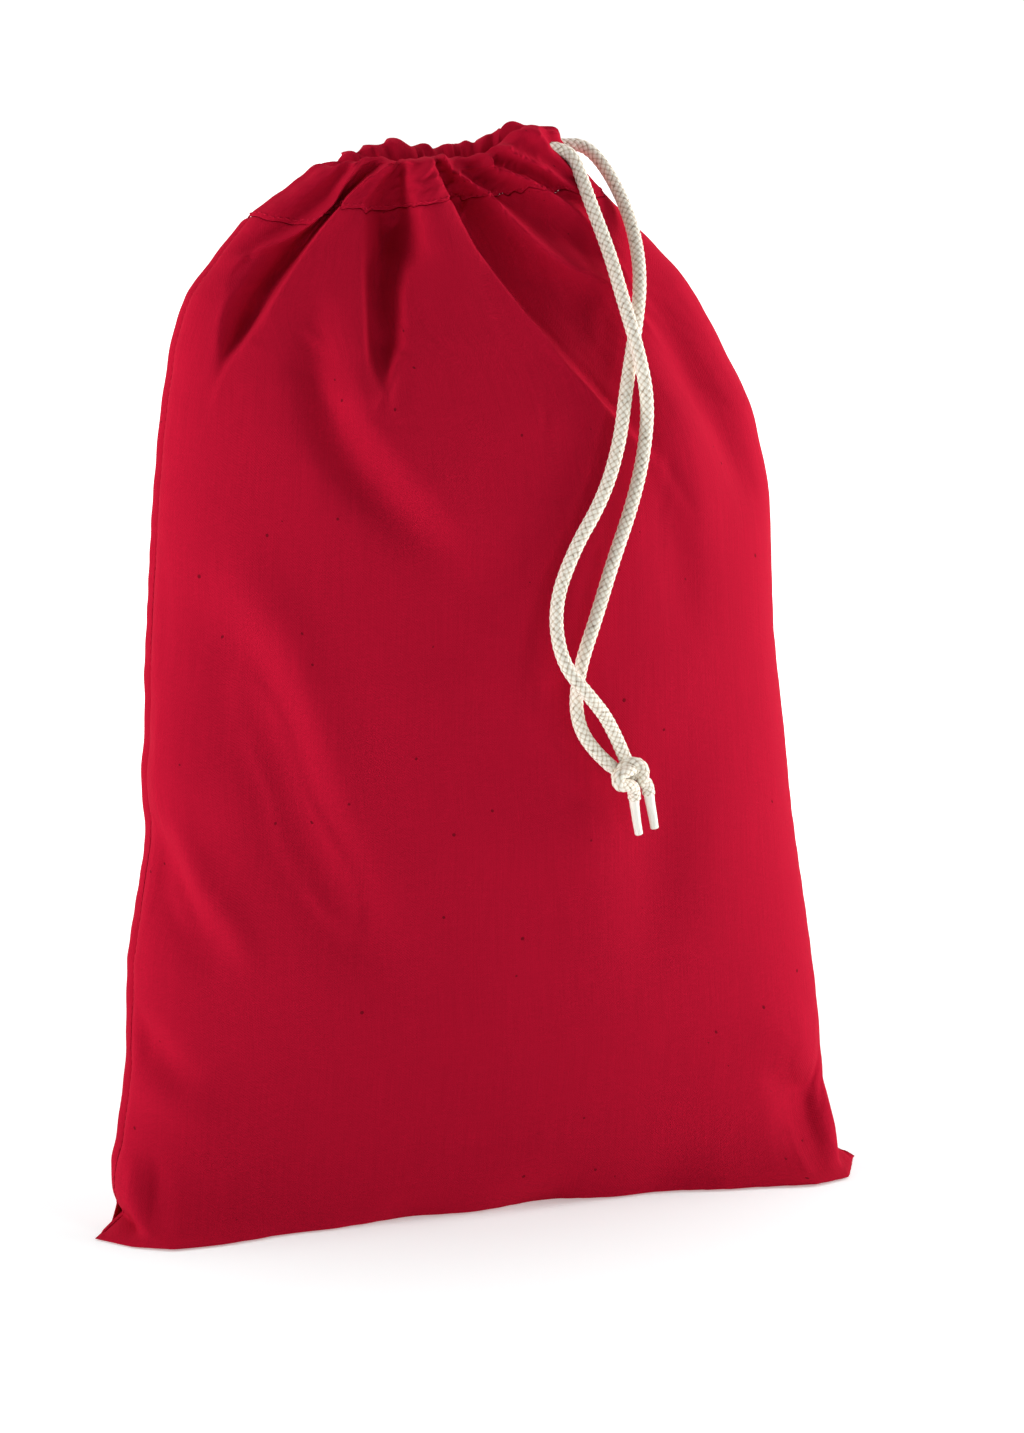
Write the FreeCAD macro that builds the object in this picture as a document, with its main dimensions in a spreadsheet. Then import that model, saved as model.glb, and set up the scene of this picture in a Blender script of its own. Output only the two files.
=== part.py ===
import FreeCAD, Part
import math
import os
import Sketcher

# Fabric gift sack: a flat cotton bag, filled out and standing on its bottom
# seam, gathered at the neck by one drawcord that runs through a casing and
# leaves it at the right-hand side seam.  +Z up, front towards -Y, origin on
# the floor under the middle of the base.  Millimetres.

doc = FreeCAD.newDocument("gift_sack")
V = FreeCAD.Vector

# ------------------------------------------------------------ driving sizes
sheet = doc.addObject("Spreadsheet::Sheet", "sizes")
# level: height, half width, half depth, sideways shift of the centre
LEVELS = [
    (0.0, 130.0, 30.0, 0.0),
    (10.0, 138.0, 36.0, 1.0),
    (30.0, 140.0, 40.5, 2.0),
    (60.0, 136.0, 44.5, 2.0),
    (100.0, 131.5, 49.0, 1.0),
    (145.0, 124.5, 53.0, 0.0),
    (205.0, 120.0, 56.0, -2.5),
    (265.0, 116.5, 54.0, -2.5),
    (295.0, 112.0, 50.0, -4.0),
    (325.0, 102.0, 42.0, -8.5),
    (345.0, 90.5, 33.0, -13.0),
    (362.0, 74.0, 26.0, -15.5),
]
cells = [
    ("wall", 1.0),               # cloth wall of the shell
    ("seam_gap", 0.15),          # seam allowance stands clear of the cloth
    ("seam_width", 8.0),         # seam allowance, measured inwards
    ("seam_thick", 1.5),         # two layers of cloth and overlock thread
    ("seam_low", 10.5),
    ("seam_high", 360.0),
    ("bottom_seam_length", 240.0),
    ("ear_root_x", 118.0),       # flattened bottom corners
    ("ear_root_front", -25.0),
    ("ear_root_back", 17.0),
    ("ear_tip_x", 149.5),
    ("ear_tip_y", -15.0),
    ("parting_y", 1.0),          # side seams, just behind the middle plane
    ("ear_low", 0.3),
    ("ear_high", 5.0),
    ("casing_low", 370.0),
    ("casing_high", 398.0),
    ("casing_left", -56.0),
    ("casing_half_depth", 12.3),
    ("mouth_half", 3.5),
    ("casing_wall", 1.2),
    ("tunnel_low", 374.0),
    ("tunnel_high", 394.0),
    ("front_exit_x", 26.0),
    ("back_exit_x", 33.0),
    ("stitch_height", 371.6),
    ("stitch_thick", 0.5),
    ("stitch_wide", 0.9),
    ("cord_dia", 5.0),
    ("cord_height", 389.0),      # drawcord's centre inside the casing
    ("cord_half_gap", 7.9),      # drawcord's centre from the neck's middle plane
    ("lead_length", 45.0),
    ("knot_half_width", 7.3),
    ("knot_half_height", 6.3),
    ("knot_half_depth", 6.2),
    ("tip_length", 18.0),
    ("front_tip_dia", 3.4),
    ("back_tip_dia", 4.0),
    ("tip_end_dia", 2.6),
]
for i, (hh, aa, bb, cc) in enumerate(LEVELS):
    tag = "%02d" % i
    cells += [("level_height_" + tag, hh), ("level_half_width_" + tag, aa),
              ("level_half_depth_" + tag, bb), ("level_shift_" + tag, cc)]
for row, (alias, value) in enumerate(cells, 1):
    sheet.set("A%d" % row, alias)
    sheet.set("B%d" % row, "%g" % value)
    sheet.setAlias("B%d" % row, alias)
doc.recompute()


def size(alias):
    return float(sheet.get(alias))


# ------------------------------------------------------------ cloth body
def oval(name, tag, inset, height=None):
    """One horizontal oval section, set in from the level's outline."""
    e = doc.addObject("Part::Ellipse", name)
    e.setExpression("MajorRadius", "sizes.level_half_width_%s - (%s)" % (tag, inset))
    e.setExpression("MinorRadius", "sizes.level_half_depth_%s - (%s)" % (tag, inset))
    e.setExpression(".Placement.Base.x", "sizes.level_shift_" + tag)
    e.setExpression(".Placement.Base.z", height or ("sizes.level_height_" + tag))
    return e


def oval_loft(name, inset, bottom=None, top=None):
    """Solid through every level's oval."""
    sections = []
    last = len(LEVELS) - 1
    for i in range(len(LEVELS)):
        tag = "%02d" % i
        height = bottom if (i == 0 and bottom) else top if (i == last and top) else None
        sections.append(oval("%s_%s" % (name, tag), tag, inset, height))
    loft = doc.addObject("Part::Loft", name)
    loft.Sections = sections
    loft.Solid = True
    loft.Ruled = False
    return loft


outer = oval_loft("cloth_outside", "0")
inner = oval_loft("cloth_inside", "sizes.wall", bottom="sizes.wall")


def ear(name, side):
    """Flattened pointed corner: a thin three-sided slab that runs out to a tip."""
    plan = doc.addObject("Sketcher::SketchObject", name + "_plan")
    root, tip = size("ear_root_x"), size("ear_tip_x")
    corners = [V(side * root, size("ear_root_front"), 0), V(side * tip, size("ear_tip_y"), 0),
               V(side * root, size("ear_root_back"), 0)]
    for a, b in zip(corners, corners[1:] + corners[:1]):
        plan.addGeometry(Part.LineSegment(a, b), False)
    for k in range(3):
        plan.addConstraint(Sketcher.Constraint("Coincident", k, 2, (k + 1) % 3, 1))
    plan.addConstraint(Sketcher.Constraint("Vertical", 2))
    for label, axis, at, expr in (
            ("root_x", "DistanceX", 0, "%d * sizes.ear_root_x" % side),
            ("root_front", "DistanceY", 0, "sizes.ear_root_front"),
            ("tip_x", "DistanceX", 1, "%d * sizes.ear_tip_x" % side),
            ("tip_y", "DistanceY", 1, "sizes.ear_tip_y"),
            ("root_back", "DistanceY", 2, "sizes.ear_root_back")):
        value = corners[at].x if axis == "DistanceX" else corners[at].y
        n = plan.addConstraint(Sketcher.Constraint(axis, -1, 1, at, 1, value))
        plan.renameConstraint(n, label)
        plan.setExpression("Constraints." + label, expr)
    slab = doc.addObject("Part::Extrusion", name)
    slab.Base = plan
    slab.Dir = V(0, 0, 1)
    slab.DirMode = "Custom"
    slab.setExpression("LengthFwd", "sizes.ear_high")
    slab.setExpression("LengthRev", "0 - sizes.ear_low")
    slab.Solid = True
    return slab


ears = [ear("left_ear", -1), ear("right_ear", 1)]
filled = doc.addObject("Part::MultiFuse", "cloth_filled")
filled.Shapes = [outer] + ears
shell = doc.addObject("Part::Cut", "cloth_shell")
shell.Base = filled
shell.Tool = inner

# the side and bottom seams part the cloth into a front and a back: a straight
# line across the sack that bends forward along the middle of each ear
parting = doc.addObject("Sketcher::SketchObject", "parting_outline")
EAR_X, EAR_Y, PART_Y = size("ear_tip_x"), size("ear_tip_y"), size("parting_y")
outline = [V(-170, -120, 0), V(170, -120, 0), V(170, -23.5, 0), V(EAR_X, EAR_Y, 0),
           V(124, PART_Y, 0), V(-124, PART_Y, 0), V(-EAR_X, EAR_Y, 0), V(-170, -23.5, 0)]
for a, b in zip(outline, outline[1:] + outline[:1]):
    parting.addGeometry(Part.LineSegment(a, b), False)
for k in range(len(outline)):
    parting.addConstraint(Sketcher.Constraint("Coincident", k, 2, (k + 1) % len(outline), 1))
for k, (name, axis, expr) in enumerate([
        ("right_tip_x", "DistanceX", "sizes.ear_tip_x"), ("right_tip_y", "DistanceY", "sizes.ear_tip_y")]):
    n = parting.addConstraint(Sketcher.Constraint(axis, -1, 1, 2, 2, EAR_X if k == 0 else EAR_Y))
    parting.renameConstraint(n, name)
    parting.setExpression("Constraints." + name, expr)
front_side = doc.addObject("Part::Extrusion", "front_side")
front_side.Base = parting
front_side.Dir = V(0, 0, 1)
front_side.DirMode = "Custom"
front_side.LengthFwd = 500
front_side.LengthRev = 10
front_side.Solid = True

front_panel = doc.addObject("Part::Common", "front_panel")
front_panel.Base = shell
front_panel.Tool = front_side
back_panel = doc.addObject("Part::Cut", "back_panel")
back_panel.Base = shell
back_panel.Tool = front_side


# ------------------------------------------------------------ seam allowances
seam_out = oval_loft("seam_outer_edge", "sizes.wall + sizes.seam_gap", bottom="sizes.wall")
seam_in = oval_loft("seam_inner_edge", "sizes.wall + sizes.seam_gap + sizes.seam_width",
                    bottom="sizes.wall - 0.5")
seam_ring = doc.addObject("Part::Cut", "seam_ring")
seam_ring.Base = seam_out
seam_ring.Tool = seam_in


def side_seam(label, x_low):
    slab = doc.addObject("Part::Box", label + "_slab")
    slab.Length = 170
    slab.setExpression("Width", "sizes.seam_thick")
    slab.setExpression("Height", "sizes.seam_high - sizes.seam_low")
    slab.Placement.Base.x = x_low
    slab.setExpression(".Placement.Base.y", "-sizes.seam_thick / 2")
    slab.setExpression(".Placement.Base.z", "sizes.seam_low")
    strip = doc.addObject("Part::Common", label)
    strip.Base = seam_ring
    strip.Tool = slab
    return strip


left_side_seam = side_seam("left_side_seam", -180)
right_side_seam = side_seam("right_side_seam", 10)

bottom_seam = doc.addObject("Part::Box", "bottom_seam")
bottom_seam.setExpression("Length", "sizes.bottom_seam_length")
bottom_seam.setExpression("Width", "sizes.seam_thick")
bottom_seam.setExpression("Height", "sizes.seam_width")
bottom_seam.setExpression(".Placement.Base.x", "-sizes.bottom_seam_length / 2")
bottom_seam.setExpression(".Placement.Base.y", "-sizes.seam_thick / 2")
bottom_seam.setExpression(".Placement.Base.z", "sizes.wall + sizes.seam_gap")


# ------------------------------------------------------------ gathered casing
def plane(body, role):
    return [f for f in body.Origin.OriginFeatures if f.Role == role][0]


def size_of(expr):
    """Value of a sum of sheet cells and numbers, such as "sizes.wall + 1"."""
    total, sign = 0.0, 1.0
    for word in expr.split():
        if word == "+":
            sign = 1.0
        elif word == "-":
            sign = -1.0
        else:
            total += sign * (size(word[6:]) if word.startswith("sizes.") else float(word))
    return total


def half_ring_sketch(body, name, side, half_out, half_in, end_x, height):
    """Outline of half a flat ring: round at the left end, open at the right.

    side is -1 for the front half and +1 for the back half."""
    ho, hi = size_of(half_out), size_of(half_in)
    cx = size("casing_left") + size("casing_half_depth")
    xr = size_of(end_x)
    sk = body.newObject("Sketcher::SketchObject", name)
    sk.AttachmentSupport = (plane(body, "XY_Plane"), [""])
    sk.MapMode = "FlatFace"
    sk.setExpression(".AttachmentOffset.Base.z", height)
    c = V(cx, 0, 0)
    if side < 0:
        arc = lambda r: Part.ArcOfCircle(Part.Circle(c, V(0, 0, 1), r), math.pi, 1.5 * math.pi)
        axis_end, flat_end = 1, 2
    else:
        arc = lambda r: Part.ArcOfCircle(Part.Circle(c, V(0, 0, 1), r), 0.5 * math.pi, math.pi)
        axis_end, flat_end = 2, 1
    sk.addGeometry(arc(ho), False)                                                     # 0
    sk.addGeometry(Part.LineSegment(V(cx, side * ho, 0), V(xr, side * ho, 0)), False)   # 1
    sk.addGeometry(Part.LineSegment(V(xr, side * ho, 0), V(xr, side * hi, 0)), False)   # 2
    sk.addGeometry(Part.LineSegment(V(xr, side * hi, 0), V(cx, side * hi, 0)), False)   # 3
    sk.addGeometry(arc(hi), False)                                                     # 4
    sk.addGeometry(Part.LineSegment(V(cx - hi, 0, 0), V(cx - ho, 0, 0)), False)         # 5
    K = Sketcher.Constraint
    for con in (K("Coincident", 0, flat_end, 1, 1), K("Coincident", 1, 2, 2, 1),
                K("Coincident", 2, 2, 3, 1), K("Coincident", 3, 2, 4, flat_end),
                K("Coincident", 4, axis_end, 5, 1), K("Coincident", 5, 2, 0, axis_end),
                K("Coincident", 0, 3, 4, 3), K("Horizontal", 1), K("Vertical", 2),
                K("Horizontal", 3), K("Vertical", 0, flat_end, 0, 3),
                K("Vertical", 4, flat_end, 4, 3), K("PointOnObject", 0, 3, -1),
                K("PointOnObject", 5, 1, -1), K("PointOnObject", 5, 2, -1)):
        sk.addConstraint(con)
    for label, con, expr in (
            ("centre_x", K("DistanceX", -1, 1, 0, 3, cx), "sizes.casing_left + sizes.casing_half_depth"),
            ("end_x", K("DistanceX", -1, 1, 2, 1, xr), end_x),
            ("outer_radius", K("Radius", 0, ho), half_out),
            ("inner_radius", K("Radius", 4, hi), half_in)):
        sk.renameConstraint(sk.addConstraint(con), label)
        sk.setExpression("Constraints." + label, expr)
    return sk


def casing(label, side, exit_cell):
    body = doc.addObject("PartDesign::Body", label)
    ring = half_ring_sketch(body, label + "_outline", side, "sizes.casing_half_depth",
                            "sizes.mouth_half", "sizes." + exit_cell, "sizes.casing_low")
    pad = body.newObject("PartDesign::Pad", label + "_pad")
    pad.Profile = ring
    pad.setExpression("Length", "sizes.casing_high - sizes.casing_low")
    doc.recompute()
    full = pad.Shape.Volume
    channel = half_ring_sketch(body, label + "_channel", side,
                               "sizes.casing_half_depth - sizes.casing_wall",
                               "sizes.mouth_half + sizes.casing_wall",
                               "sizes." + exit_cell + " + 2", "sizes.tunnel_high")
    pocket = body.newObject("PartDesign::Pocket", label + "_tunnel")
    pocket.Profile = channel
    pocket.setExpression("Length", "sizes.tunnel_high - sizes.tunnel_low")
    doc.recompute()
    cut = full - pocket.Shape.Volume
    if cut < 0.2 * full:
        raise RuntimeError(label + ": the drawcord tunnel was not cut")
    print("%s: full %.0f mm3, tunnel %.0f mm3" % (label, full, cut))
    return body


front_casing = casing("front_casing", -1, "front_exit_x")
back_casing = casing("back_casing", 1, "back_exit_x")


def stitching(label, side, exit_cell):
    """The sewn line along the lower edge of the casing, proud of the cloth."""
    line = doc.addObject("Part::Box", label)
    line.setExpression("Length", "sizes.%s - sizes.casing_left - sizes.casing_half_depth - 1" % exit_cell)
    line.setExpression("Width", "sizes.stitch_thick")
    line.setExpression("Height", "sizes.stitch_wide")
    line.setExpression(".Placement.Base.x", "sizes.casing_left + sizes.casing_half_depth")
    line.setExpression(".Placement.Base.y", "sizes.casing_half_depth" if side > 0 else
                       "-sizes.casing_half_depth - sizes.stitch_thick")
    line.setExpression(".Placement.Base.z", "sizes.stitch_height")
    return line


front_stitching = stitching("front_casing_stitching", -1, "front_exit_x")
back_stitching = stitching("back_casing_stitching", 1, "back_exit_x")

# ------------------------------------------------------------ drawcord
CORD_R = size("cord_dia") / 2.0


def corner_path(points):
    """Straight runs joined by tangent arcs; returns the wire and the radii."""
    edges, radii = [], []
    at = points[0]
    for i in range(1, len(points) - 1):
        p = points[i]
        a, b = points[i - 1] - p, points[i + 1] - p
        reach = 0.45 * min(a.Length, b.Length)
        half_turn = (math.pi - a.getAngle(b)) / 2.0
        a.normalize()
        b.normalize()
        radius = reach / math.tan(half_turn)
        start, end = p + a * reach, p + b * reach
        mid_dir = (a + b)
        mid_dir.normalize()
        centre = p + mid_dir * math.hypot(radius, reach)
        middle = centre - mid_dir * radius
        edges.append(Part.LineSegment(at, start).toShape())
        edges.append(Part.Arc(start, middle, end).toShape())
        radii.append(radius)
        at = end
    edges.append(Part.LineSegment(at, points[-1]).toShape())
    return Part.Wire(edges), radii


def tube(label, wire, start, direction, radius):
    ring = Part.Wire([Part.Circle(start, direction, radius).toShape()])
    solid = wire.makePipeShell([ring], True, False)
    want = math.pi * radius ** 2 * wire.Length
    print("%s: length %.1f mm, volume %.1f mm3, section x length %.1f mm3"
          % (label, wire.Length, solid.Volume, want))
    if abs(solid.Volume - want) > 0.01 * want:
        raise RuntimeError(label + ": the tube's volume is wrong")
    feature = doc.addObject("Part::Feature", label)
    feature.Shape = solid
    feature.Placement = FreeCAD.Placement()
    return feature


# hidden run: back along the left end of the neck inside the casing
gap, zc = size("cord_half_gap"), size("cord_height")
cx = size("casing_left") + size("casing_half_depth")
front_start = size("front_exit_x") - size("lead_length")
back_start = size("back_exit_x") - size("lead_length")
hidden = Part.Wire([
    Part.LineSegment(V(front_start, -gap, zc), V(cx, -gap, zc)).toShape(),
    Part.Arc(V(cx, -gap, zc), V(cx - gap, 0, zc), V(cx, gap, zc)).toShape(),
    Part.LineSegment(V(cx, gap, zc), V(back_start, gap, zc)).toShape()])
loop = tube("drawcord_in_casing", hidden, V(front_start, -gap, zc), V(-1, 0, 0), CORD_R)


def lead(label, side, exit_cell):
    """The last stretch inside the casing, which slides out when the cord is pulled."""
    rod = doc.addObject("Part::Cylinder", label)
    rod.setExpression("Radius", "sizes.cord_dia / 2")
    rod.setExpression("Height", "sizes.lead_length")
    rod.Placement = FreeCAD.Placement(V(0, 0, 0), FreeCAD.Rotation(V(0, 1, 0), 90))
    rod.setExpression(".Placement.Base.x", "sizes.%s - sizes.lead_length" % exit_cell)
    rod.setExpression(".Placement.Base.y", "%d * sizes.cord_half_gap" % side)
    rod.setExpression(".Placement.Base.z", "sizes.cord_height")
    return rod


front_lead = lead("drawcord_front_lead", -1, "front_exit_x")
back_lead = lead("drawcord_back_lead", 1, "back_exit_x")

# the two strands outside the sack, from the casing's end down to the knot
FRONT_ROUTE = [
    (26.0, -7.9, 389.0), (30.8, -7.9, 389.0), (35.9, -9.8, 386.0), (38.1, -12.6, 378.2),
    (39.4, -20.7, 367.5), (42.5, -29.3, 352.8), (44.0, -39.4, 336.6), (44.7, -51.7, 321.2),
    (49.1, -51.8, 302.3), (47.5, -52.1, 282.6), (41.0, -56.3, 263.9), (33.4, -58.2, 245.5),
    (26.6, -59.8, 226.2), (19.5, -61.1, 207.5), (18.1, -60.6, 191.2), (23.9, -60.1, 178.7),
    (32.5, -60.4, 171.0)]
BACK_ROUTE = [
    (33.0, 7.9, 389.0), (38.5, 7.9, 389.0), (46.1, 6.7, 389.0), (51.5, 1.3, 382.5),
    (55.5, -7.4, 371.0), (55.9, -20.4, 357.8), (53.6, -32.2, 342.1), (48.2, -40.7, 324.9),
    (42.0, -48.3, 306.8), (37.4, -54.0, 287.2), (29.7, -57.7, 268.0), (17.6, -60.0, 250.5),
    (10.0, -60.6, 230.5), (10.6, -66.9, 211.6), (20.7, -67.9, 199.3), (31.4, -62.3, 187.4),
    (37.8, -60.7, 172.9)]


def strand(label, route):
    points = [V(*p) for p in route]
    wire, radii = corner_path(points)
    print("%s: arc radii %s mm" % (label, " ".join("%.1f" % r for r in radii)))
    return tube(label, wire, points[0], points[1] - points[0], CORD_R)


front_strand = strand("drawcord_front_strand", FRONT_ROUTE)
back_strand = strand("drawcord_back_strand", BACK_ROUTE)

# the overhand knot that joins both strands, and the two dipped ends under it
knot = doc.addObject("Part::Ellipsoid", "drawcord_knot")
knot.setExpression("Radius1", "sizes.knot_half_height")
knot.setExpression("Radius2", "sizes.knot_half_width")
knot.setExpression("Radius3", "sizes.knot_half_depth")
knot.Placement = FreeCAD.Placement(V(39.3, -60.6, 167.3), FreeCAD.Rotation())


def cord_tip(label, dia_cell, start, end):
    cone = doc.addObject("Part::Cone", label)
    cone.setExpression("Radius1", "sizes.%s / 2" % dia_cell)
    cone.setExpression("Radius2", "sizes.tip_end_dia / 2")
    cone.setExpression("Height", "sizes.tip_length")
    way = V(*end) - V(*start)
    cone.Placement = FreeCAD.Placement(V(*start), FreeCAD.Rotation(V(0, 0, 1), way))
    return cone


front_tip = cord_tip("front_cord_tip", "front_tip_dia", (40.7, -59.6, 162.2), (44.5, -57.0, 144.5))
back_tip = cord_tip("back_cord_tip", "back_tip_dia", (46.2, -59.3, 163.2), (50.8, -56.0, 146.0))

# ------------------------------------------------------------ write the parts
doc.recompute()
failed = [o.Name for o in doc.Objects if "Invalid" in o.State or "Error" in o.State]
if failed:
    raise RuntimeError("failed objects: " + ", ".join(failed))

NODES = [front_panel, back_panel, left_side_seam, right_side_seam, bottom_seam,
         front_casing, back_casing, front_stitching, back_stitching,
         loop, front_lead, back_lead, front_strand, back_strand,
         knot, front_tip, back_tip]
for node in NODES:
    if node.Shape.isNull() or not node.Shape.isValid() or not node.Shape.Solids:
        raise RuntimeError(node.Label + " has no valid solid")
os.makedirs("parts", exist_ok=True)
for node in NODES:
    box = node.Shape.BoundBox
    print("%-24s %d solid(s) %9.1f mm3  x %.1f..%.1f  y %.1f..%.1f  z %.1f..%.1f"
          % (node.Label, len(node.Shape.Solids), node.Shape.Volume,
             box.XMin, box.XMax, box.YMin, box.YMax, box.ZMin, box.ZMax))
    node.Shape.exportStep("parts/%s.step" % node.Label)
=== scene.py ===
import math

import bpy
import numpy as np
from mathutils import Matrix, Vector


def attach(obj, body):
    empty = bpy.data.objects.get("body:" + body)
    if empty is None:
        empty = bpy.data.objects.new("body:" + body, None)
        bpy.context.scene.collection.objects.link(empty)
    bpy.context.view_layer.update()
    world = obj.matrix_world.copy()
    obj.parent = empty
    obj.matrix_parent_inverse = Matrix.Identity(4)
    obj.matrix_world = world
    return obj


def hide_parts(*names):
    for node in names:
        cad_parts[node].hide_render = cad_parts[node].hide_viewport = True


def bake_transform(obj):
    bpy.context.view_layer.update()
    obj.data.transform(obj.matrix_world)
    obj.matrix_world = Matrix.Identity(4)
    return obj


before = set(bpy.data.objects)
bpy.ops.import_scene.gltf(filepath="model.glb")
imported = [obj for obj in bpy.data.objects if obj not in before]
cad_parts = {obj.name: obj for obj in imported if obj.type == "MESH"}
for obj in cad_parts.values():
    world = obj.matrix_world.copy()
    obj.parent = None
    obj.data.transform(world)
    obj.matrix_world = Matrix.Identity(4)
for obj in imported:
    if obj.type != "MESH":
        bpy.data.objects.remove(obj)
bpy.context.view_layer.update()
scene = bpy.context.scene
MM = 0.001

# ------------------------------------------------------------------ camera
cam_data = bpy.data.cameras.new("camera")
cam = bpy.data.objects.new("camera", cam_data)
scene.collection.objects.link(cam)
cam_data.sensor_width = 36.0
cam_data.lens = 4133.0 / 1433.0 * 36.0
cam_data.clip_start, cam_data.clip_end = 0.05, 60.0
az = math.radians(-19.0)
cam.location = (math.sin(az) * 1.5, -math.cos(az) * 1.5, 0.480)
ya, pi_ = math.radians(-19.57), math.radians(11.3)
fwd = Vector((-math.sin(ya) * math.cos(pi_), math.cos(ya) * math.cos(pi_), -math.sin(pi_)))
cam.rotation_mode = "QUATERNION"
cam.rotation_quaternion = fwd.to_track_quat("-Z", "Y")
scene.camera = cam
scene.view_settings.view_transform = "Standard"

# ------------------------------------------------------------------ node helpers


def new_material(name):
    m = bpy.data.materials.new(name)
    m.use_nodes = True
    t = m.node_tree
    t.nodes.clear()
    out = t.nodes.new("ShaderNodeOutputMaterial")
    b = t.nodes.new("ShaderNodeBsdfPrincipled")
    t.links.new(b.outputs["BSDF"], out.inputs["Surface"])
    return m, t, b


def N(t, kind, **kw):
    n = t.nodes.new("ShaderNode" + kind)
    for k, v in kw.items():
        setattr(n, k, v)
    return n


def put(t, node, socket, value):
    """A value or another node's output goes into a socket."""
    s = node.inputs[socket]
    if isinstance(value, bpy.types.NodeSocket):
        t.links.new(value, s)
    else:
        s.default_value = value


def math_node(t, op, a, b=0.5, clamp=False):
    n = N(t, "Math", operation=op, use_clamp=clamp)
    put(t, n, 0, a)
    put(t, n, 1, b)
    return n.outputs[0]


def scaled(t, vector, x, y, z=1.0):
    n = N(t, "Mapping")
    put(t, n, "Vector", vector)
    n.inputs["Scale"].default_value = (x, y, z)
    return n.outputs[0]


def vlength(t, vec):
    n = N(t, "VectorMath", operation="LENGTH")
    put(t, n, 0, vec)
    return n.outputs["Value"]


def noise(t, vector, scale, detail=2.0, rough=0.5, out="Fac"):
    n = N(t, "TexNoise")
    put(t, n, "Vector", vector)
    n.inputs["Scale"].default_value = scale
    n.inputs["Detail"].default_value = detail
    n.inputs["Roughness"].default_value = rough
    return n.outputs[out]


def ramp(t, fac, stops, mode="LINEAR"):
    n = N(t, "ValToRGB")
    n.color_ramp.interpolation = mode
    e = n.color_ramp.elements
    while len(e) < len(stops):
        e.new(0.5)
    for k, (p, c) in enumerate(stops):
        e[k].position = p
        e[k].color = (*c, 1.0) if len(c) == 3 else c
    put(t, n, "Fac", fac)
    return n.outputs["Color"]


def mix(t, fac, a, b, mode="MIX"):
    n = N(t, "Mix", data_type="RGBA", blend_type=mode)
    n.inputs[0].default_value = 0.5
    put(t, n, 0, fac)
    for s, v in ((6, a), (7, b)):
        if isinstance(v, bpy.types.NodeSocket):
            t.links.new(v, n.inputs[s])
        else:
            n.inputs[s].default_value = (*v, 1.0)
    return n.outputs[2]


def bump(t, height, distance, strength=1.0, normal=None):
    n = N(t, "Bump")
    put(t, n, "Height", height)
    n.inputs["Distance"].default_value = distance
    n.inputs["Strength"].default_value = strength
    if normal is not None:
        t.links.new(normal, n.inputs["Normal"])
    return n.outputs["Normal"]


def lin(r, g, b):
    return tuple(((c / 255.0) / 12.92 if c / 255.0 <= 0.04045 else ((c / 255.0 + 0.055) / 1.055) ** 2.4) for c in (r, g, b))


# ------------------------------------------------------------------ materials
def cotton(name, light, dark, flecks=True):
    """Plain-weave dyed cotton. The UV map is the flat cloth, in metres: U across, V up the sack."""
    m, t, b = new_material(name)
    uv = N(t, "UVMap", uv_map="flat").outputs["UV"]
    sep = N(t, "SeparateXYZ")
    put(t, sep, 0, uv)
    u, v = sep.outputs[0], sep.outputs[1]
    # slubs: threads that are thicker for a few centimetres
    slub_v = noise(t, scaled(t, uv, 1500.0, 34.0), 1.0, 3.0, 0.6)
    slub_h = noise(t, scaled(t, uv, 40.0, 1300.0), 1.0, 3.0, 0.6)
    cloud = noise(t, scaled(t, uv, 9.0, 6.0), 1.0, 3.0, 0.5)
    fine = noise(t, scaled(t, uv, 1000.0, 1000.0), 1.0, 2.0, 0.7)
    base = mix(t, slub_v, dark, light)
    base = mix(t, math_node(t, "MULTIPLY", slub_h, 0.55), base, light)
    base = mix(t, math_node(t, "MULTIPLY", ramp(t, cloud, [(0.35, (0, 0, 0)), (0.7, (1, 1, 1))]), 0.22), base, dark)
    base = mix(t, math_node(t, "MULTIPLY", ramp(t, fine, [(0.45, (0, 0, 0)), (0.75, (1, 1, 1))]), 0.30), base, dark)
    if flecks:
        vor = N(t, "TexVoronoi", feature="F1")
        put(t, vor, "Vector", scaled(t, uv, 92.0, 92.0))
        vor.inputs["Scale"].default_value = 1.0
        pick = N(t, "SeparateColor")
        t.links.new(vor.outputs["Color"], pick.inputs[0])
        near = math_node(t, "LESS_THAN", vor.outputs["Distance"], math_node(t, "MULTIPLY", math_node(t, "ADD", pick.outputs[1], 0.25), 0.060))
        rare = math_node(t, "GREATER_THAN", pick.outputs[0], 0.12)
        spot = math_node(t, "MULTIPLY", near, rare)
        base = mix(t, math_node(t, "MULTIPLY", spot, 0.62), base, lin(62, 8, 16))
    t.links.new(base, b.inputs["Base Color"])
    # the weave itself: threads of about half a millimetre over and under one another
    k = 2 * math.pi / 0.00105
    su = math_node(t, "SINE", math_node(t, "MULTIPLY", u, k))
    sv = math_node(t, "SINE", math_node(t, "MULTIPLY", v, k))
    weave = math_node(t, "MULTIPLY", su, sv)
    h = math_node(t, "ADD", math_node(t, "MULTIPLY", weave, 0.35), math_node(t, "MULTIPLY", slub_v, 1.1))
    h = math_node(t, "ADD", h, math_node(t, "MULTIPLY", slub_h, 0.8))
    h = math_node(t, "ADD", h, math_node(t, "MULTIPLY", fine, 0.5))
    t.links.new(bump(t, h, 0.00011, 0.8), b.inputs["Normal"])
    b.inputs["Roughness"].default_value = 0.9
    b.inputs["Specular IOR Level"].default_value = 0.03
    b.inputs["Sheen Weight"].default_value = 0.02
    b.inputs["Sheen Roughness"].default_value = 0.45
    b.inputs["Sheen Tint"].default_value = (*lin(255, 70, 100), 1.0)
    return m


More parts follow.
